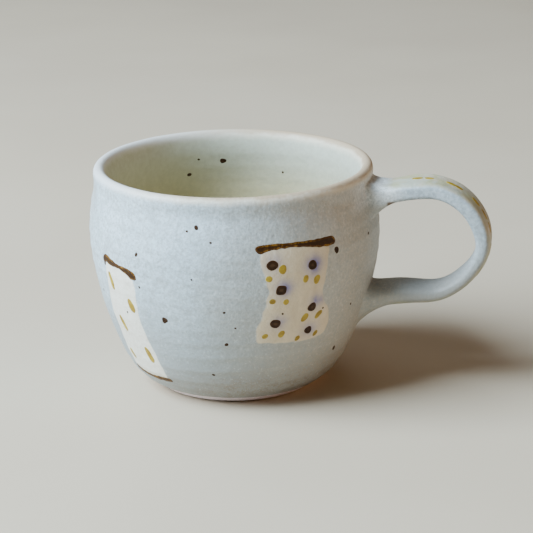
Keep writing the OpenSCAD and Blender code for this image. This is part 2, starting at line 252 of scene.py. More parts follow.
def new_piece(name, points, faces, replaces, attributes=None):
    """A mesh object in the row frame that rides on the one body and stands for CAD nodes."""
    mesh = bpy.data.meshes.new(name)
    mesh.from_pydata([tuple(p) for p in points], [], [tuple(f) for f in faces])
    for key, values in (attributes or {}).items():
        mesh.attributes.new(key, "FLOAT", "POINT").data.foreach_set("value", np.asarray(values, np.float32))
    tool = bmesh.new()
    tool.from_mesh(mesh)
    bmesh.ops.remove_doubles(tool, verts=tool.verts, dist=SAME_POINT)
    bmesh.ops.dissolve_degenerate(tool, dist=NO_LENGTH, edges=tool.edges)
    bmesh.ops.recalc_face_normals(tool, faces=tool.faces)
    tool.to_mesh(mesh)
    tool.free()
    mesh.polygons.foreach_set("use_smooth", [True] * len(mesh.polygons))
    piece = bpy.data.objects.new(name, mesh)
    bpy.context.scene.collection.objects.link(piece)
    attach(piece, "root")
    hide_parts(*replaces)
    return piece


def quads(rows, columns, close_rows):
    """Faces of a grid of points that closes on itself across its columns, and perhaps across its rows."""
    i, j = np.meshgrid(np.arange(rows if close_rows else rows - 1), np.arange(columns), indexing="ij")
    a = i * columns + j
    b = i * columns + (j + 1) % columns
    below = (i + 1) % rows * columns
    return np.stack([a, b, below + (j + 1) % columns, below + j], axis=-1).reshape(-1, 4)


# ---- The turned clay and its two coats ----
CLAY_SIDES, COAT_SIDES = 384, 480
AXIS_R = 1e-5  # a point of the section nearer the axis than this is on it
LAP = 6  # points of the section by which each coat runs over the top of the lip
BACK_EVERY, BACK_DEPTH = 6, 0.05 * MM
EDGE_REACH = 0.9 * MM
LINER_EVERY = 2


def turned(name, index, lift, count, replaces, closed):
    """A solid of revolution along part of the section, lifted from the clay, with the relief of the clay."""
    angle = np.linspace(0, 2 * math.pi, count, endpoint=False)[None, :]
    index = np.asarray(index)
    lift = np.asarray(lift)[:, None]
    base, normal = SECTION[index], SECTION_N[index]
    on_axis = base[:, :1] < AXIS_R
    out = relief(angle, index[:, None] * PATH_STEP, base[:, 1:2]) + lift
    out = np.where(on_axis, lift, out)
    r, z = wobbled(base[:, :1] + normal[:, :1] * out, base[:, 1:2] + normal[:, 1:] * out, angle)
    r = np.where(on_axis, 0, r)
    points = np.stack([r * np.cos(angle), r * np.sin(angle), z + 0 * angle], axis=-1).reshape(-1, 3)
    return new_piece(name, points, quads(len(index), count, closed), replaces)


def coat(name, index, thick, replaces):
    """A glaze coat as a closed shell along the section, with a coarser inner face just inside the clay."""
    back = index[::-BACK_EVERY]
    lift = np.concatenate([thick, -BACK_DEPTH * np.ones(len(back))])
    return turned(name, np.concatenate([index, back]), lift, COAT_SIDES, replaces, closed=True)


# The clay is fine where it's bare and a little past the edge of the glaze, and coarse under the coats
PAST_EDGE, HIDDEN_EVERY = 12, 4
bare = list(range(edge_i + PAST_EDGE))
hidden = list(range(edge_i + PAST_EDGE, last_i - 2 * HIDDEN_EVERY, HIDDEN_EVERY))
clay_index = bare + hidden + [last_i - HIDDEN_EVERY, last_i]
body = turned(
    "turned_clay_body", clay_index, np.zeros(len(clay_index)), CLAY_SIDES, ["thrown_body"],
    closed=False,
)

# The two coats lap over the lip, each thinning out under the other
outside = np.arange(edge_i, top_i + LAP + 1)
from_edge = np.clip((outside - edge_i) * PATH_STEP / EDGE_REACH, 0, 1)
outer_thick = GLAZE_T * rounded(from_edge) * (1 - smooth((outside - top_i) / LAP))
outer_coat = coat("outer_glaze_coat", outside, outer_thick, ["outer_glaze"])
lapped = np.arange(top_i - LAP, top_i + LAP)
within = np.concatenate([lapped, np.arange(top_i + LAP, last_i - 1, LINER_EVERY), [last_i]])
liner_thick = GLAZE_T * (1 - smooth((top_i - within) / LAP))
liner_coat = coat("liner_glaze_coat", within, liner_thick, ["liner_glaze"])
coat_tree = tree_of(outer_coat)
liner_tree = tree_of(liner_coat)


# ---- The pulled handle and its joint clay ----
strap_low, strap_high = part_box("handle_glaze")
eye_z = (strap_low.z + strap_high.z) / 2
eye = Vector((strap_high.x - (strap_high.z - strap_low.z) / 2, 0, eye_z))
ARM_STATIONS, LOOP_STATIONS = 12, 60
END_MARGIN = 2.6 * MM
RING_STEP, STRAP_REACH = 0.5 * MM, 5
SIDES = 72


def strap_station(start, along):
    """Centre, thickness and width of the strap where a ray out of the finger gap crosses it."""
    inner, normal = hit(strap_tree, start, along)
    outer, _ = hit(strap_tree, start + along * FAR, -along)
    centre = (inner + outer) / 2
    side, _ = hit(strap_tree, (centre.x, -FAR, centre.z), (0, 1, 0))
    return centre.x, centre.z, (outer - inner).length * abs(normal.dot(along)), -2 * side.y


arm_x = np.linspace(strap_low.x + END_MARGIN, eye.x, ARM_STATIONS, endpoint=False)
stations = [strap_station(Vector((x, 0, eye_z)), UP) for x in arm_x]
for a in np.linspace(math.pi / 2, -math.pi / 2, LOOP_STATIONS):
    stations.append(strap_station(eye, Vector((math.cos(a), 0, math.sin(a)))))
stations += [strap_station(Vector((x, 0, eye_z)), -UP) for x in arm_x[::-1]]

strap = softened(spaced(np.array(stations), RING_STEP), STRAP_REACH)
strap_out = -normals_of(strap[:, :2])
around = np.linspace(0, 2 * math.pi, SIDES, endpoint=False)
strap_waves = Waves(seed=21, count=14, most_round=3, longest=40 * MM, shortest=12 * MM)
STRAP_WAVE, SIDE_WAVE = 0.10 * MM, 0.8  # unevenness of the strap's faces, and the share its sides have
# The strap is squarer in section at its upper root than below, and changes between two shares of its length
FLAT_TOP, ROUND_BELOW, ROUND_FROM, ROUND_TO = 4.5, 2.5, 0.4, 0.65
# Grooves, with their place and width as shares of half the strap's width, fading over some end rings
GROOVE_DEPTH, GROOVE_AT, GROOVE_WIDTH, GROOVE_FADE = 0.22 * MM, 0.42, 0.16, 24


def strap_ring(i):
    """One ring of the strap. Its outer face has the two shallow grooves that pulling fingers leave."""
    x, z, thick, wide = strap[i]
    cos, sin = np.cos(around), np.sin(around)
    square = FLAT_TOP + (ROUND_BELOW - FLAT_TOP) * ramp(i / len(strap), ROUND_FROM, ROUND_TO)
    soft_cos = np.sign(cos) * np.abs(cos) ** (2 / square)
    soft_sin = np.sign(sin) * np.abs(sin) ** (2 / square)
    fade = smooth(i / GROOVE_FADE) * smooth((len(strap) - 1 - i) / GROOVE_FADE)
    profile = np.exp(-((np.abs(soft_sin) - GROOVE_AT) / GROOVE_WIDTH) ** 2)
    groove = -GROOVE_DEPTH * fade * np.clip(cos, 0, 1) * profile
    uneven = STRAP_WAVE * strap_waves(around, i * RING_STEP)
    out = soft_cos * (thick / 2 + uneven) + groove
    across = soft_sin * (wide / 2 + SIDE_WAVE * uneven)
    return np.stack([x + strap_out[i, 0] * out, across, z + strap_out[i, 1] * out], axis=1)


def wall_point(y, z, depth):
    """The point a depth under the outer glaze, at a height and a distance to the side of the handle."""
    angle = y / coat_high.x
    way = Vector((-math.cos(angle), -math.sin(angle), 0))
    place, normal = hit(coat_tree, Vector((0, 0, z)) - way * FAR, way)
    return np.array(place - normal * depth)


FLARE_RINGS = 22
SUNK = 0.12 * MM
INNER_FOOT = 0.86  # share of the footprint from which the skin's run along the wall is read


def flare(ring, lead, middle_z, half_w, up, down, pull_in, pull_up, pull_down, pull_side):
    """Rings from the end of the strap to its footprint on the wall. The footprint reaches up and down from
    middle_z by its own lengths, and the skin runs out along the wall with its own pull on each side."""
    rings = []
    out_z = ring[:, 2] - ring[:, 2].mean()
    side = ring[:, 1] / np.abs(ring[:, 1]).max()
    high = out_z / np.abs(out_z).max()
    feet, inner_feet = [], []
    for s, h in zip(side, high):
        reach = up if h > 0 else down
        for share, store, depth in ((1, feet, SUNK), (INNER_FOOT, inner_feet, 0)):
            store.append(wall_point(share * s * half_w, middle_z + share * h * reach, depth))
    feet, inner_feet = np.array(feet), np.array(inner_feet)
    run = feet - inner_feet
    run /= np.linalg.norm(run, axis=1)[:, None]
    weight_up, weight_down = np.clip(high, 0, 1) ** 2, np.clip(-high, 0, 1) ** 2
    weight_side = 1 - weight_up - weight_down
    pull = (pull_up * weight_up + pull_down * weight_down + pull_side * weight_side)[:, None]
    span = np.linalg.norm(feet - ring, axis=1)[:, None]
    for t in np.linspace(0, 1, FLARE_RINGS + 1)[1:]:
        h00, h10 = 2 * t**3 - 3 * t**2 + 1, t**3 - 2 * t**2 + t
        h01, h11 = 3 * t**2 - 2 * t**3, t**3 - t**2
        rings.append(h00 * ring + h10 * lead * span * pull_in + h01 * feet + h11 * run * span * pull)
    return rings


def leading(last, before):
    """The way the strap runs at one of its ends."""
    way = (last - before).mean(axis=0)
    return way / np.linalg.norm(way)


def tube(name, rings, replaces, crest_start, crest_end):
    """A closed tube through rings of points, with a flat end inside its neighbour at each end. Its crest
    attribute says how much a point belongs to the outer face of the strap."""
    count = len(rings)
    faces = quads(count, SIDES, False).tolist()
    faces += [list(range(SIDES))[::-1], [(count - 1) * SIDES + k for k in range(SIDES)]]
    fade = np.linspace(crest_start, crest_end, count)
    crest = {"crest": (fade[:, None] * CREST).ravel()}
    piece = new_piece(name, np.concatenate(rings), faces, replaces, crest)
    for edge in piece.data.edges:
        edge.use_edge_sharp = [v // SIDES for v in edge.vertices] in ([0, 0], [count - 1, count - 1])
    return piece


CREST = np.clip(np.cos(around), 0, 1) ** (2 / FLAT_TOP)
# Where the strap meets the wall, a little nearer the finger gap than the middle of its joint clay is
UPPER_ROOT_Z = sum(corner.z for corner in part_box("upper_joint_clay")) / 2 - 1.215 * MM
LOWER_ROOT_Z = sum(corner.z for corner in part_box("lower_joint_clay")) / 2 + 0.799 * MM
strap_rings = [strap_ring(i) for i in range(len(strap))]
upper_flare = flare(
    strap_rings[0], leading(strap_rings[0], strap_rings[2]), UPPER_ROOT_Z,
    half_w=9.8 * MM, up=6.6 * MM, down=5.6 * MM, pull_in=0.95, pull_up=0.5, pull_down=0.35, pull_side=0.75,
)
lower_flare = flare(
    strap_rings[-1], leading(strap_rings[-1], strap_rings[-3]), LOWER_ROOT_Z,
    half_w=9.0 * MM, up=6.2 * MM, down=9.6 * MM, pull_in=0.8, pull_up=0.35, pull_down=1.0, pull_side=0.75,
)
upper_joint = tube(
    "upper_joint", upper_flare[::-1] + strap_rings[:2], ["upper_joint_clay"],
    crest_start=0, crest_end=1,
)
glazed_strap = tube(
    "glazed_strap", strap_rings[1:-1], ["pulled_handle", "handle_glaze"],
    crest_start=1, crest_end=1,
)
lower_joint = tube(
    "lower_joint", strap_rings[-2:] + lower_flare, ["lower_joint_clay"],
    crest_start=1, crest_end=0,
)


# ---- Patches: slip panels and brush marks, cut to the outline of their CAD solids ----
def radial(p):
    return Vector((p.x, p.y, 0)).normalized()


def to_axis(p):
    return -radial(p)


def off_loop(p):
    return (Vector((p.x, 0, p.z)) - eye).normalized()


WELD = 0.002 * MM
FACES_OUT = 0.5  # cosine
MOST_STRAY_POINTS = 5  # a loop of no more points than this isn't an island


def islands(node, facing):
    """For each solid of a node, the loop of points round the face that looks outward."""
    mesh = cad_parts[node].data
    key, names, points = {}, [], []
    for v in mesh.vertices:
        spot = tuple(round(c / WELD) for c in v.co)
        if spot not in key:
            key[spot] = len(points)
            points.append(v.co.copy())
        names.append(key[spot])
    uses = {}
    for p in mesh.polygons:
        if p.normal.dot(facing(p.center)) < FACES_OUT:
            continue
        corners = [names[i] for i in p.vertices]
        for a, b in zip(corners, corners[1:] + corners[:1]):
            if a != b:
                uses.setdefault(frozenset((a, b)), []).append((a, b))
    following = {}
    for pair in uses.values():
        if len(pair) == 1:
            following[pair[0][0]] = pair[0][1]
    loops = []
    while following:
        start, at = next(iter(following.items()))
        del following[start]
        loop = [start]
        while at in following and at != start:
            loop.append(at)
            at = following.pop(at)
        if len(loop) > MOST_STRAY_POINTS:
            loops.append([points[i] for i in loop])
    return sorted(loops, key=lambda loop: (round(loop[0].x, 5), round(loop[0].z, 5)))


def edge_distance(points, loop):
    """Distance of points in a plane to a closed loop."""
    a, b = loop, np.roll(loop, -1, axis=0)
    ab = b - a
    t = ((points[:, None] - a) * ab).sum(-1) / (ab**2).sum(-1)
    near = a + np.clip(t, 0, 1)[..., None] * ab
    return np.linalg.norm(points[:, None] - near, axis=-1).min(axis=1)


def inside(points, loop):
    """True for points in a plane that lie inside a closed loop."""
    a, b = loop, np.roll(loop, -1, axis=0)
    x, y = points[:, 0, None], points[:, 1, None]
    crosses = (a[:, 1] > y) != (b[:, 1] > y)
    with np.errstate(divide="ignore", invalid="ignore"):
        cut = (b[:, 0] - a[:, 0]) * (y - a[:, 1]) / (b[:, 1] - a[:, 1]) + a[:, 0]
    return (crosses & (x < cut)).sum(axis=1) % 2 == 1


def signed_area(loop):
    """Area inside a loop in a plane, positive when it runs anticlockwise."""
    after = np.roll(loop, -1, axis=0)
    return 0.5 * np.sum(loop[:, 0] * after[:, 1] - after[:, 0] * loop[:, 1])


FEWEST_STEPS = 7  # across the smallest patch
OUTLINE_REACH = 2  # points
POINTS_A_WAVE, PHASES = 9, 6.3  # the shortest wave of an outline, and the range of its waves' phases
TINY = 1e-9
OFF_OUTLINE = 0.55  # least distance of the inner points from the outline, in steps
RAYS_FROM = 20 * MM
UNDER_DEPTH = 0.10 * MM


class Patch:
    """One island of a node as points in its own plane, laid on a tree of finished surfaces."""

    def __init__(self, loop, facing, tree, rng, step, rough, grow):
        self.centre = sum(loop, Vector()) / len(loop)
        self.axis = facing(self.centre)
        self.across = Vector((0, 1, 0)) if facing is off_loop else UP.cross(self.axis).normalized()
        self.up = self.axis.cross(self.across)
        flat = np.array([[(p - self.centre).dot(self.across), (p - self.centre).dot(self.up)] for p in loop])
        area = abs(signed_area(flat))
        self.size = math.sqrt(area)
        step = min(step, self.size / FEWEST_STEPS)
        ring = softened(spaced(np.concatenate([flat, flat[:1]]), step)[:-1], OUTLINE_REACH, closed=True)
        ring *= math.sqrt(area / abs(signed_area(ring)))
        self.fill(self.brushed(ring, rng, rough, grow), step)
        self.lay(tree)

    def brushed(self, ring, rng, rough, grow):
        """The ring made uneven by waves and spread by grow."""
        turn = np.linspace(0, 2 * math.pi, len(ring), endpoint=False)
        shake = np.zeros(len(ring))
        for m in range(2, max(3, int(len(ring) / POINTS_A_WAVE))):
            shake += rng.normal() * np.cos(m * turn + rng.uniform(0, PHASES)) / math.sqrt(m)
        shake *= rough * self.size / max(TINY, np.abs(shake).max())
        out = np.roll(ring, -1, axis=0) - np.roll(ring, 1, axis=0)
        out = np.stack([out[:, 1], -out[:, 0]], axis=1) / np.linalg.norm(out, axis=1)[:, None]
        return ring + out * (shake + grow * np.sign(signed_area(ring)))[:, None]

    def fill(self, ring, step):
        """Triangles inside the ring, and the depth of each point from its edge."""
        low, high = ring.min(axis=0), ring.max(axis=0)
        gx, gy = np.meshgrid(np.arange(low[0], high[0], step), np.arange(low[1], high[1], step))
        gx = gx + (np.arange(gx.shape[0])[:, None] % 2) * step / 2
        grid = np.stack([gx, gy], axis=-1).reshape(-1, 2)
        grid = grid[inside(grid, ring)]
        grid = grid[edge_distance(grid, ring) > OFF_OUTLINE * step]
        everything = [Vector(p) for p in np.concatenate([ring, grid])]
        flat, _, self.faces, *_ = geometry.delaunay_2d_cdt(everything, [], [list(range(len(ring)))], 1, TINY)
        self.flat = np.array([tuple(p) for p in flat])
        self.depth = edge_distance(self.flat, ring)

    def lay(self, tree):
        """The place of each point on the finished surface, and the normal there."""
        place, normal = [], []
        for u, v in self.flat:
            start = self.centre + self.across * u + self.up * v + self.axis * RAYS_FROM
            at, facing_out = hit(tree, start, -self.axis)
            place.append(at)
            normal.append(facing_out)
        self.place, self.normal = np.array(place), np.array(normal)


def patches(name, node, facing, tree, seed, slot, step, rough, grow, swell, halo_of=None):
    """One piece for all the islands of a node: thin closed solids that swell up from the surface.
    rough is how uneven the outline is as a share of the size, grow is how far it spreads past its CAD solid,
    swell gives the height of a patch's points and halo_of the stain at each."""
    rng = np.random.default_rng(seed)
    points, faces, depths, halos = [], [], [], []
    for loop in islands(node, facing):
        patch = Patch(loop, facing, tree, rng, step, rough, grow)
        first, count = len(points), len(patch.place)
        points += list(patch.place + patch.normal * swell(patch)[:, None])
        points += list(patch.place - patch.normal * UNDER_DEPTH)
        border = {}
        for f in patch.faces:
            faces.append([first + i for i in f])
            faces.append([first + count + i for i in reversed(f)])
            for a, b in zip(f, f[1:] + f[:1]):
                border[(a, b)] = border.get((b, a)) is None
                if not border[(a, b)]:
                    border[(b, a)] = False
        for (a, b), open_edge in border.items():
            if open_edge:
                faces.append([first + b, first + a, first + count + a, first + count + b])
        depths += list(patch.depth) * 2
        halos += list(halo_of(patch) if halo_of else np.zeros(count)) * 2
    return new_piece(name, points, faces, [node], {"depth": depths, "halo": halos})


DOME_SUNK, LAYER_SUNK = 0.01 * MM, 0.015 * MM  # how far under the surface an edge starts
FULL_DOME = 1.5 * MM  # a patch smaller than this swells less


def dome(height, reach):
    """A rounded swelling that comes up from just under the surface within a reach of its edge."""
    def swell(patch):
        share = np.clip(patch.depth / min(reach, patch.size / 2), 0, 1)
        return height * min(1, patch.size / FULL_DOME) * rounded(share) - DOME_SUNK
    return swell


def layer(height, reach):
    """An even layer with a soft edge."""
    def swell(patch):
        return height * smooth(patch.depth / reach) - LAYER_SUNK
    return swell


# The stain of each iron dot of a panel, from the top down: strength, shift to its right and up, and reach
STAINS = [
    (0.50, 0.6 * MM, 0.7 * MM, 2.8 * MM), (1.3, 0.6 * MM, -0.2 * MM, 2.8 * MM),
    (0.90, 1.1 * MM, 0.4 * MM, 2.6 * MM), (1.0, 1.6 * MM, 1.5 * MM, 2.4 * MM),
    (0.60, 1.2 * MM, 0.2 * MM, 2.5 * MM), (0.65, 0.3 * MM, 0.0 * MM, 2.7 * MM),
]
PANEL_REACH = 30 * MM  # the dots of the other panel are further off


def stain(patch):
    """The blue that bleeds into a slip panel round its iron dots, mostly to the right of each."""
    halo = np.zeros(len(patch.place))
    for dots in ("front_right_iron_dots", "back_right_iron_dots"):
        centres = [sum(loop, Vector()) / len(loop) for loop in islands(dots, radial)]
        centres.sort(key=lambda centre: -centre.z)
        for centre, (strength, right, above, reach) in zip(centres, STAINS):
            spot = centre + patch.across * right + patch.up * above
            if (spot - patch.centre).length < PANEL_REACH:
                gap = np.linalg.norm(patch.place - np.array(spot), axis=1)
                halo += strength * np.exp(-(gap / reach) ** 2)
    return np.clip(halo, 0, 1)


SLIP = {"step": 0.42 * MM, "rough": 0.012, "grow": 0.5 * MM, "swell": layer(0.09 * MM, 1.5 * MM)}
STROKE = {"step": 0.22 * MM, "rough": 0.035, "grow": 0.15 * MM, "swell": dome(0.13 * MM, 0.55 * MM)}
DOT = {"step": 0.2 * MM, "rough": 0.05, "grow": 0.1 * MM, "swell": dome(0.15 * MM, 0.6 * MM)}
OCHRE = {"step": 0.2 * MM, "rough": 0.04, "swell": dome(0.07 * MM, 0.5 * MM)}
SPECK = {"step": 0.15 * MM, "rough": 0.08, "grow": 0.12 * MM, "swell": dome(0.07 * MM, 0.4 * MM)}
OCHRE_DOT_GROW, OCHRE_DASH_GROW, OCHRE_DAB_GROW = 0.2 * MM, 0.45 * MM, 0.6 * MM

slips = [
    patches(name, node, radial, coat_tree, seed, slot, halo_of=halo_of, **SLIP)
    for name, node, seed, slot, halo_of in (
        ("slip_front_right", "front_right_slip", 31, "warm_slip", stain),
        ("slip_back_right", "back_right_slip", 32, "warm_slip", stain),
        ("slip_front_left", "front_left_slip", 33, "cool_slip", None),
        ("slip_back_left", "back_left_slip", 34, "cool_slip", None),
    )
]
painted_tree = tree_of(outer_coat, *slips)
handle_tree = tree_of(upper_joint, glazed_strap, lower_joint)
strokes = [
    patches(name, node, radial, painted_tree, seed, "iron_brown", **STROKE)
    for name, node, seed in (
        ("stroke_front_right", "front_right_stroke", 41),
        ("strokes_front_left", "front_left_strokes", 42),
        ("stroke_back_right", "back_right_stroke", 43),
        ("strokes_back_left", "back_left_strokes", 44),
    )
]
iron_dots = [
    patches(name, node, radial, painted_tree, seed, "iron_brown", **DOT)
    for name, node, seed in (
        ("iron_dots_front_right", "front_right_iron_dots", 51),
        ("iron_dots_back_right", "back_right_iron_dots", 52),
    )
]
ochre_marks = [
    patches(name, node, facing, tree, seed, "ochre", grow=grow, **OCHRE)
    for name, node, facing, tree, seed, grow in (
        ("ochre_dots_front_right", "front_right_ochre_dots", radial, painted_tree, 61, OCHRE_DOT_GROW),
        ("ochre_dots_back_right", "back_right_ochre_dots", radial, painted_tree, 62, OCHRE_DOT_GROW),
        ("ochre_dashes_front_left", "front_left_ochre_dashes", radial, painted_tree, 63, OCHRE_DASH_GROW),
        ("ochre_dashes_back_left", "back_left_ochre_dashes", radial, painted_tree, 64, OCHRE_DASH_GROW),
        ("ochre_dabs_handle", "handle_ochre_dabs", off_loop, handle_tree, 65, OCHRE_DAB_GROW),
    )
]
speckles = [
    patches(name, node, facing, tree, seed, "iron_brown", **SPECK)
    for name, node, facing, tree, seed in (
        ("speckles_outside", "outer_iron_speckles", radial, painted_tree, 71),
        ("speckles_inside", "liner_iron_speckles", to_axis, liner_tree, 72),
    )
]


# ---- Materials ----
class Shader:
    """A material made of nodes, with a short call for each kind of node used here."""

    def __init__(self, name, roughness):
        self.material = bpy.data.materials.new(name)
        self.material.use_nodes = True
        self.nodes = self.material.node_tree.nodes
        self.links = self.material.node_tree.links
        self.surface = self.nodes["Principled BSDF"]
        self.surface.inputs["Roughness"].default_value = roughness
        self.place = self.nodes.new("ShaderNodeTexCoord").outputs["Object"]
        axes = self.nodes.new("ShaderNodeSeparateXYZ")
        self.links.new(self.place, axes.inputs[0])
        self.x, self.y, self.z = axes.outputs

    def put(self, value, socket):
        if isinstance(value, bpy.types.NodeSocket):
            self.links.new(value, socket)
        else:
            socket.default_value = value

    def noise(self, size, detail=2, roughness=0.5, distortion=0, stretch=(1, 1, 1)):
        """Noise with features of about a size, from 0 to 1."""
        place = self.place
        if stretch != (1, 1, 1):
            mapping = self.nodes.new("ShaderNodeMapping")
            mapping.inputs["Scale"].default_value = stretch
            self.links.new(place, mapping.inputs["Vector"])
            place = mapping.outputs[0]
        node = self.nodes.new("ShaderNodeTexNoise")
        self.links.new(place, node.inputs["Vector"])
        node.inputs["Scale"].default_value = 0.5 / size
        node.inputs["Detail"].default_value = detail
        node.inputs["Roughness"].default_value = roughness
        node.inputs["Distortion"].default_value = distortion
        return node.outputs["Fac"]

    def step(self, value, start, end, low=0.0, high=1.0):
        """A smooth step of a value, from low at the start to high at the end."""
        node = self.nodes.new("ShaderNodeMapRange")
        node.interpolation_type = "SMOOTHSTEP"
        self.put(value, node.inputs["Value"])
        for key, number in (("From Min", start), ("From Max", end), ("To Min", low), ("To Max", high)):
            node.inputs[key].default_value = number
        return node.outputs["Result"]

    def math(self, kind, a, b):
        node = self.nodes.new("ShaderNodeMath")
        node.operation = kind
        self.put(a, node.inputs[0])
        self.put(b, node.inputs[1])
        return node.outputs[0]

    def times(self, a, b):
        return self.math("MULTIPLY", a, b)

    def plus(self, a, b):
        return self.math("ADD", a, b)

    def shaken(self, value, amount, size, roughness=0.6):
        """A value moved both ways by noise of a size, over a range of an amount."""
        return self.plus(value, self.times(self.plus(self.noise(size, 3, roughness), -0.5), amount))

    def mix(self, factor, a, b):
        """From colour a at a factor of 0 to colour b at 1."""
        node = self.nodes.new("ShaderNodeMix")
        node.data_type = "RGBA"
        self.put(factor, node.inputs["Factor"])
        for value, socket in ((a, node.inputs[6]), (b, node.inputs[7])):
            self.put(value if isinstance(value, bpy.types.NodeSocket) else (*value, 1), socket)
        return node.outputs[2]

    def attribute(self, name):
        node = self.nodes.new("ShaderNodeAttribute")
        node.attribute_name = name
        return node.outputs["Fac"]

    def finish(self, colour, roughness=None, height=None, bump=0.0, specular=None):
        """Joins the colour, the roughness and a height, scaled to a bump in metres, to the surface."""
        self.links.new(colour, self.surface.inputs["Base Color"])
        if roughness is not None:
            self.links.new(roughness, self.surface.inputs["Roughness"])
        if height is not None:
            node = self.nodes.new("ShaderNodeBump")
            node.inputs["Strength"].default_value = 1.0
            node.inputs["Distance"].default_value = bump
            self.links.new(height, node.inputs["Height"])
            self.links.new(node.outputs[0], self.surface.inputs["Normal"])
        if specular is not None:
            self.surface.inputs["Specular IOR Level"].default_value = specular
        return self.material


BLUE_PALE, BLUE_DEEP, BLUE_GREY = (0.600, 0.755, 0.870), (0.450, 0.580, 0.680), (0.320, 0.360, 0.375)
# The toast and the dark low greige are partly painted warm shade
GREIGE, LOW_GREIGE_AND_SHADE, TOAST_AND_WARM_SHADE = (0.480, 0.395, 0.285), (0.215, 0.172, 0.125), (0.300, 0.210, 0.150)
# The pale colour for the wall by the upper joint is painted light
PAINTED_LIGHT_PALE, PALE_GRAIN, DARK_GRAIN = (0.780, 0.820, 0.840), (0.74, 0.80, 0.84), (0.30, 0.33, 0.345)
RIM_CREAM, RIM_PALE, RIM_TOAST = (0.770, 0.695, 0.560), (0.760, 0.800, 0.840), (0.430, 0.315, 0.205)
# The handle's blues and its low colour are painted shade, the low one with warm bounced light
SHADED_HANDLE_BLUE, SHADED_HANDLE_DEEP, HANDLE_LOW_SHADE = (0.400, 0.480, 0.545), (0.285, 0.345, 0.390), (0.285, 0.270, 0.245)
CREST_BEIGE, CREST_GREEN, CREST_OLIVE = (0.480, 0.410, 0.290), (0.400, 0.410, 0.320), (0.330, 0.320, 0.130)
# Dark brown for the crease under the upper joint
CREASE_DARK_BROWN = (0.170, 0.105, 0.065)
# The liner's olive is partly painted shade and warm bounced light
LINER_PALE, LINER_DEEP, LINER_HIGH = (0.54, 0.485, 0.30), (0.45, 0.385, 0.215), (0.54, 0.585, 0.53)
LINER_GRAIN = (0.28, 0.27, 0.20)
CLAY_PALE, CLAY_DEEP, CLAY_FLASH = (0.98, 0.87, 0.92), (0.88, 0.78, 0.82), (0.34, 0.24, 0.19)
DARK_SAND, PALE_SAND = (0.42, 0.33, 0.29), (0.80, 0.75, 0.72)
WARM_SLIP = (0.770, 0.660, 0.485), (0.660, 0.550, 0.385)
COOL_SLIP = (0.900, 0.880, 0.800), (0.820, 0.795, 0.705)
IRON_BLUE, SLIP_GRAIN = (0.085, 0.095, 0.420), (0.42, 0.37, 0.30)
NEAR_BLACK = (0.026, 0.010, 0.003)
# Middle, thin edge and core of the iron dots and specks
DOT_IRON = (0.060, 0.024, 0.008), (0.140, 0.080, 0.045), (0.110, 0.060, 0.030)
SPECK_IRON = (0.060, 0.030, 0.014), (0.150, 0.105, 0.070), (0.230, 0.200, 0.160)
STROKE_DARK, STROKE_AMBER = (0.060, 0.021, 0.004), (0.260, 0.122, 0.014)
STROKE_FLECK, STROKE_EDGE = (0.300, 0.165, 0.028), (0.070, 0.030, 0.008)
OCHRE_PALE, OCHRE_DEEP, OCHRE_EDGE = (0.440, 0.310, 0.014), (0.260, 0.160, 0.004), (0.600, 0.520, 0.230)
FLOOR_PALE, FLOOR_DEEP = (0.56, 0.475, 0.365), (0.53, 0.445, 0.34)
GLAZE_BUMP, LINER_BUMP, CLAY_BUMP = 0.15 * MM, 0.07 * MM, 0.12 * MM
IRON_BUMP, STROKE_BUMP, OCHRE_BUMP = 0.05 * MM, 0.06 * MM, 0.03 * MM
IRON_SPECULAR = 0.18
# Where the glaze and the painted light and shade on it change, as the start and end of a smooth step
LIP_Z, LIP_TOP_Z = (MUG_H - 2.7 * MM, MUG_H - 0.2 * MM), (MUG_H - 0.9 * MM, MUG_H + 0.3 * MM)
LIP_CREAM_X, LIP_TOAST_X = (-40 * MM, 5 * MM), (-30 * MM, 12 * MM)
GREY_Z, WARM_X = (48 * MM, 14 * MM), (-8 * MM, 40 * MM)
TOAST_FROM_Z, TOAST_TO_Z = (MUG_H - 13 * MM, MUG_H - 7 * MM), (MUG_H - 1 * MM, MUG_H - 5 * MM)
TOAST_SIDE_X, TOAST_END_X = (-14 * MM, 40 * MM), (36 * MM, 41 * MM)
# Height and reach of the painted light on the wall by the upper joint
PAINTED_LIGHT_Z, PAINTED_LIGHT_X = (57.5 * MM, 62 * MM), (38 * MM, 43 * MM)
FOOT_Z, FOOT_X = (20 * MM, 5 * MM), (-34 * MM, 6 * MM)
# Where the painted shade on the strap comes in, along it and low down
STRAP_X, STRAP_LOW_Z = (48 * MM, 56 * MM), (54 * MM, 32 * MM)
# Where the dark brown in the crease under the upper joint sits
CREASE_FROM_X, CREASE_TO_X = (48.3 * MM, 49.1 * MM), (51.4 * MM, 50.6 * MM)
CREASE_FROM_Z, CREASE_TO_Z = (58.2 * MM, 59.0 * MM), (61.2 * MM, 60.5 * MM)
CREASE_SIDE_Y = -1 * MM, -3 * MM
LINER_HIGH_Z, FLASH_Z = (44 * MM, 66 * MM), (2.7 * MM, 3.3 * MM)


def rim_colour(m, colour):
    """The glaze thins over the lip: pale opposite the handle, cream towards it, and toasted along the very
    top, most of all towards the handle."""
    height = m.plus(m.z, m.times(m.noise(2.4 * MM, 3, 0.6), 1.6 * MM))
    cream = m.mix(m.step(m.x, *LIP_CREAM_X), RIM_PALE, RIM_CREAM)
    colour = m.mix(m.step(height, *LIP_Z, 0, 0.85), colour, cream)
    toasted = m.times(m.step(height, *LIP_TOP_Z), m.step(m.x, *LIP_TOAST_X, 0.15, 0.85))
    return m.mix(toasted, colour, RIM_TOAST)


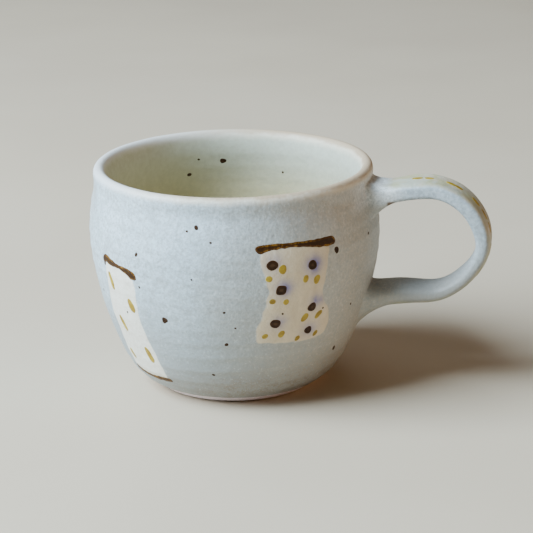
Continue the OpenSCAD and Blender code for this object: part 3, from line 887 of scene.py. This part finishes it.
def outer_colour(m):
    """Colour of the outer glaze, and the fine noise in it. Cloudy pale blue-grey, greyer low on the wall and
    warmer towards the handle, where it's toasted under the rim, pale by the upper joint, and dark near the
    foot.
    Part of that warm, dark shade is the light of the reference view, not the glaze: painted shade and warm
    bounced light. The pale patch by the upper joint is painted light."""
    fine = m.noise(0.6 * MM, 3, 0.65)
    pores = m.noise(1.7 * MM, 4, 0.72, 0.4)
    colour = m.mix(m.step(m.noise(14 * MM, 3, 0.55), 0.34, 0.66, 0, 0.8), BLUE_PALE, BLUE_DEEP)
    colour = m.mix(m.step(m.noise(26 * MM, 2, 0.5, 0.4), 0.45, 0.70, 0, 0.40), colour, GREIGE)
    colour = m.mix(m.step(pores, 0.45, 0.66, 0, 0.42), colour, BLUE_GREY)
    # Greyer and darker low on the wall: partly painted shade
    colour = m.mix(m.step(m.z, *GREY_Z, 0, 0.85), colour, BLUE_GREY)
    # Warmer towards the handle: partly the glaze, partly painted warm shade and bounced light
    colour = m.mix(m.step(m.x, *WARM_X, 0, 0.66), colour, GREIGE)
    mottle = m.step(m.noise(2.2 * MM, 4, 0.68, 0.6), 0.38, 0.62)
    # Toasted under the rim, strongest on the handle's side: partly real toasting, partly painted warm shade
    handle_side = m.step(m.x, *TOAST_SIDE_X, 0.08, 1.0)
    band = m.times(m.step(m.z, *TOAST_FROM_Z), m.step(m.z, *TOAST_TO_Z, 1, 0.5))
    toast_and_warm_shade = m.times(m.times(band, handle_side), m.step(mottle, 0, 1, 0.25, 1))
    toast_and_warm_shade = m.times(toast_and_warm_shade, m.step(m.x, *TOAST_END_X, 1, 0))
    colour = m.mix(m.times(toast_and_warm_shade, 0.5), colour, TOAST_AND_WARM_SHADE)
    # Painted light: a pale patch on the wall by the upper joint, where the wall lies in shade
    painted_light = m.times(m.step(m.z, *PAINTED_LIGHT_Z), m.step(m.x, *PAINTED_LIGHT_X))
    colour = m.mix(m.times(painted_light, m.step(mottle, 0, 1, 0.55, 0.9)), colour, PAINTED_LIGHT_PALE)
    # Dark near the foot on the handle's side: partly painted shade
    low = m.times(m.step(m.z, *FOOT_Z), m.step(m.x, *FOOT_X, 0.1, 0.95))
    colour = m.mix(m.times(low, m.step(mottle, 0, 1, 0.7, 1)), colour, LOW_GREIGE_AND_SHADE)
    grain = m.noise(0.42 * MM, 3, 0.65, 0.3)
    colour = m.mix(m.step(grain, 0.44, 0.66, 0, 0.58), colour, BLUE_GREY)
    colour = m.mix(m.step(grain, 0.44, 0.30, 0, 0.30), colour, PALE_GRAIN)
    colour = m.mix(m.step(fine, 0.36, 0.64, 0, 0.30), colour, DARK_GRAIN)
    return rim_colour(m, colour), fine


def sugary_relief(m):
    """The fine sugary grain of a satin-matte glaze."""
    return m.plus(m.noise(0.55 * MM, 3, 0.6), m.noise(1.5 * MM, 2, 0.5))


def outer_glaze_material():
    m = Shader("satin_blue_grey_glaze", 0.45)
    colour, fine = outer_colour(m)
    return m.finish(colour, m.step(fine, 0.2, 0.8, 0.40, 0.58), sugary_relief(m), GLAZE_BUMP)


def handle_material():
    """The outer glaze on the handle. It's darker on the strap than on the wall and warm and dark low down,
    both painted shade, the low part with warm bounced light, and it breaks to beige and olive along the
    crest. It's dark brown in the crease under the upper joint."""
    m = Shader("satin_glaze_on_the_handle", 0.45)
    colour, fine = outer_colour(m)
    # Painted shade: the strap is a darker blue than the wall
    off_wall = m.step(m.x, *STRAP_X, 0, 0.8)
    blue = m.mix(m.step(fine, 0.35, 0.65), SHADED_HANDLE_BLUE, SHADED_HANDLE_DEEP)
    # Painted shade and warm bounced light, low on the handle
    blue = m.mix(m.step(m.z, *STRAP_LOW_Z, 0, 0.8), blue, HANDLE_LOW_SHADE)
    colour = m.mix(off_wall, colour, blue)
    crest = m.shaken(m.attribute("crest"), 0.5, 3 * MM)
    beige = m.mix(m.step(m.noise(4 * MM, 3, 0.6, 0.5), 0.40, 0.60), CREST_BEIGE, CREST_GREEN)
    colour = m.mix(m.step(crest, 0.55, 0.90, 0, 0.85), colour, beige)
    olive = m.times(m.step(crest, 0.75, 1.0), m.step(m.noise(4.5 * MM, 3, 0.6, 0.7), 0.46, 0.60))
    colour = m.mix(m.times(olive, 0.5), colour, CREST_OLIVE)
    # Dark brown in the crease under the upper joint, on its near side
    along = m.times(m.step(m.x, *CREASE_FROM_X), m.step(m.x, *CREASE_TO_X))
    upright = m.times(m.step(m.z, *CREASE_FROM_Z), m.step(m.z, *CREASE_TO_Z))
    tinted = m.times(m.times(along, upright), m.step(m.y, *CREASE_SIDE_Y, 0, 0.9))
    colour = m.mix(tinted, colour, CREASE_DARK_BROWN)
    return m.finish(colour, m.step(fine, 0.2, 0.8, 0.38, 0.56), sugary_relief(m), GLAZE_BUMP)


def liner_material():
    """Olive-cream liner, paler and greener up the wall and cream on the lip. Its deep olive, darker low in
    the cup, is partly painted shade and warm bounced light.
    """
    m = Shader("olive_liner_glaze_and_painted_shade", 0.42)
    fine = m.noise(0.8 * MM, 3, 0.6)
    # The liner's deep olive and its darker lower part are partly painted shade and warm bounced light
    colour = m.mix(m.step(m.noise(11 * MM, 3, 0.55), 0.3, 0.7), LINER_PALE, LINER_DEEP)
    colour = m.mix(m.step(m.z, *LINER_HIGH_Z, 0, 0.8), colour, LINER_HIGH)
    colour = m.mix(m.step(fine, 0.3, 0.7, 0, 0.2), colour, LINER_GRAIN)
    colour = rim_colour(m, colour)
    return m.finish(colour, m.step(fine, 0.2, 0.8, 0.38, 0.54), sugary_relief(m), LINER_BUMP)


def clay_material():
    """Bare stoneware: pinkish and sandy, flashed brown where the glaze ends."""
    m = Shader("bare_stoneware", 0.85)
    sand = m.noise(0.5 * MM, 4, 0.7)
    colour = m.mix(m.step(m.noise(6 * MM, 3, 0.55), 0.3, 0.7), CLAY_PALE, CLAY_DEEP)
    colour = m.mix(m.step(sand, 0.45, 0.78, 0, 0.45), colour, DARK_SAND)
    colour = m.mix(m.step(sand, 0.35, 0.2, 0, 0.5), colour, PALE_SAND)
    flash = m.plus(m.z, m.times(m.noise(2 * MM, 2), 0.8 * MM))
    colour = m.mix(m.step(flash, *FLASH_Z, 0, 0.65), colour, CLAY_FLASH)
    return m.finish(colour, m.step(sand, 0.3, 0.7, 0.74, 0.92), sand, CLAY_BUMP)


def slip_material(name, pale, deep):
    """Warm or cool white slip in the glaze: brushed, thin at its edge, stained blue round iron."""
    m = Shader(name, 0.45)
    under, fine = outer_colour(m)
    streak = m.noise(2.4 * MM, 3, 0.6, 0.3, (1, 1, 0.28))
    colour = m.mix(m.step(streak, 0.3, 0.72), pale, deep)
    tinted = m.times(m.attribute("halo"), m.step(m.noise(1.6 * MM, 3, 0.6), 0.25, 0.65, 0.45, 1))
    colour = m.mix(tinted, colour, IRON_BLUE)
    colour = m.mix(m.step(fine, 0.3, 0.7, 0, 0.16), colour, SLIP_GRAIN)
    depth = m.shaken(m.attribute("depth"), 0.6 * MM, 1.2 * MM)
    colour = m.mix(m.step(depth, 0.1 * MM, 0.9 * MM, 0, 0.95), under, colour)
    return m.finish(colour, m.step(fine, 0.2, 0.8, 0.40, 0.58), sugary_relief(m), GLAZE_BUMP)


def iron_material(name, middle, thin, core):
    """Iron dots and specks: near black, browner at the edge, with a core of its own colour where they are
    widest."""
    m = Shader(name, 0.5)
    depth = m.shaken(m.attribute("depth"), 0.5 * MM, 0.7 * MM, 0.65)
    patchy = m.step(m.noise(1.1 * MM, 4, 0.7, 0.8), 0.42, 0.58)
    colour = m.mix(m.step(depth, 0.0, 0.16 * MM), thin, middle)
    dark = m.times(m.step(depth, 0.06 * MM, 0.30 * MM), m.step(patchy, 0, 1, 0.6, 1))
    colour = m.mix(dark, colour, NEAR_BLACK)
    colour = m.mix(m.step(depth, 0.85 * MM, 1.30 * MM, 0, 0.45), colour, core)
    roughness = m.step(patchy, 0, 1, 0.42, 0.58)
    return m.finish(colour, roughness, m.noise(0.4 * MM, 3, 0.6), IRON_BUMP, IRON_SPECULAR)


def stroke_material():
    """Iron strokes: brown mottled with amber, near black where they are widest and dark brown at the edge."""
    m = Shader("iron_strokes", 0.5)
    mottle = m.step(m.noise(1.2 * MM, 4, 0.75, 0.6), 0.49, 0.66)
    fleck = m.step(m.noise(0.5 * MM, 3, 0.6), 0.50, 0.68)
    colour = m.mix(mottle, STROKE_DARK, STROKE_AMBER)
    colour = m.mix(m.times(fleck, 0.5), colour, STROKE_FLECK)
    depth = m.shaken(m.attribute("depth"), 0.25 * MM, 1.6 * MM)
    colour = m.mix(m.step(depth, 0.50 * MM, 0.74 * MM, 0, 0.85), colour, NEAR_BLACK)
    colour = m.mix(m.step(depth, 0.20 * MM, 0.05 * MM, 0, 0.8), colour, STROKE_EDGE)
    roughness = m.step(mottle, 0, 1, 0.40, 0.55)
    return m.finish(colour, roughness, m.noise(0.4 * MM, 3, 0.6), STROKE_BUMP, IRON_SPECULAR)


def ochre_material():
    """Ochre marks, patchy and paler where they thin out at the edge."""
    m = Shader("ochre_brush_work", 0.4)
    depth = m.shaken(m.attribute("depth"), 0.5 * MM, 0.7 * MM)
    patchy = m.step(m.noise(1.3 * MM, 3, 0.6, 0.5), 0.34, 0.68)
    colour = m.mix(patchy, OCHRE_PALE, OCHRE_DEEP)
    colour = m.mix(m.step(depth, -0.05 * MM, 0.22 * MM), OCHRE_EDGE, colour)
    return m.finish(colour, m.step(patchy, 0, 1, 0.36, 0.5), m.noise(0.4 * MM, 2, 0.5), OCHRE_BUMP)


def dress(pieces, material):
    for piece in pieces:
        piece.data.materials.clear()
        piece.data.materials.append(material)


dress([outer_coat], outer_glaze_material())
dress([upper_joint, glazed_strap, lower_joint], handle_material())
dress([liner_coat], liner_material())
dress([body], clay_material())
dress(slips[:2], slip_material("warm_cream_slip", *WARM_SLIP))
dress(slips[2:], slip_material("cool_white_slip", *COOL_SLIP))
dress(strokes, stroke_material())
dress(iron_dots, iron_material("iron_dots", *DOT_IRON))
dress(speckles, iron_material("iron_specks", *SPECK_IRON))
dress(ochre_marks, ochre_material())


# ---- Floor, light and camera ----
def floor():
    """A round pale floor, far wider than the view."""
    tool = bmesh.new()
    bmesh.ops.create_circle(tool, cap_ends=True, radius=3, segments=96)
    mesh = bpy.data.meshes.new("floor")
    tool.to_mesh(mesh)
    tool.free()
    obj = bpy.data.objects.new("floor", mesh)
    bpy.context.scene.collection.objects.link(obj)
    m = Shader("pale_floor", 0.7)
    tint = m.step(m.noise(60 * MM, 3, 0.5), 0.3, 0.7)
    dress([obj], m.finish(m.mix(tint, FLOOR_PALE, FLOOR_DEEP)))


def soft_light(name, angle, elevation, distance, size, power, colour):
    """A square area light, aimed at the mug from an angle round it, 0 being the side of the handle."""
    light = bpy.data.lights.new(name, "AREA")
    light.shape = "SQUARE"
    light.size = size
    light.energy = power
    light.color = colour
    obj = bpy.data.objects.new(name, light)
    bpy.context.scene.collection.objects.link(obj)
    a, e = math.radians(angle), math.radians(elevation)
    away = Vector((math.cos(a) * math.cos(e), math.sin(a) * math.cos(e), math.sin(e)))
    obj.location = mug_middle + distance * away
    obj.rotation_euler = (mug_middle - obj.location).to_track_quat("-Z", "Y").to_euler()


def camera():
    """The reference view: a long lens, a little to the handle's side and from above."""
    azimuth, elevation, roll = math.radians(12), math.radians(17.6), math.radians(-0.54)
    distance, right_by, up_by = 0.600, 9.9 * MM, 0.5 * MM
    data = bpy.data.cameras.new("camera")
    data.sensor_width = 36
    data.lens = 129.2
    obj = bpy.data.objects.new("camera", data)
    bpy.context.scene.collection.objects.link(obj)
    away = Vector((
        math.sin(azimuth) * math.cos(elevation), -math.cos(azimuth) * math.cos(elevation), math.sin(elevation)
    ))
    right = Vector((math.cos(azimuth), math.sin(azimuth), 0))
    obj.location = mug_middle + distance * away
    aim = mug_middle + right * right_by + away.cross(right) * up_by
    turn = (aim - obj.location).to_track_quat("-Z", "Y").to_matrix() @ Matrix.Rotation(roll, 3, "Z")
    obj.rotation_euler = turn.to_euler()
    bpy.context.scene.camera = obj


def dim_world(colour, strength):
    """A faint even light from all round."""
    world = bpy.data.worlds.new("studio")
    world.use_nodes = True
    background = world.node_tree.nodes["Background"]
    background.inputs["Color"].default_value = (*colour, 1)
    background.inputs["Strength"].default_value = strength
    bpy.context.scene.world = world


mug_middle = Vector((0, 0, MUG_H / 2))
floor()
soft_light("window", -150, 42, distance=1.3, size=0.9, power=74, colour=(0.72, 0.88, 1.0))
soft_light("warm_bounce", 8, 10, distance=1.4, size=1.0, power=5.5, colour=(1.0, 0.54, 0.21))
soft_light("back_fill", 125, 42, distance=1.5, size=1.2, power=3.0, colour=(1.0, 0.97, 0.92))
dim_world((1.0, 0.90, 0.76), 0.085)
camera()
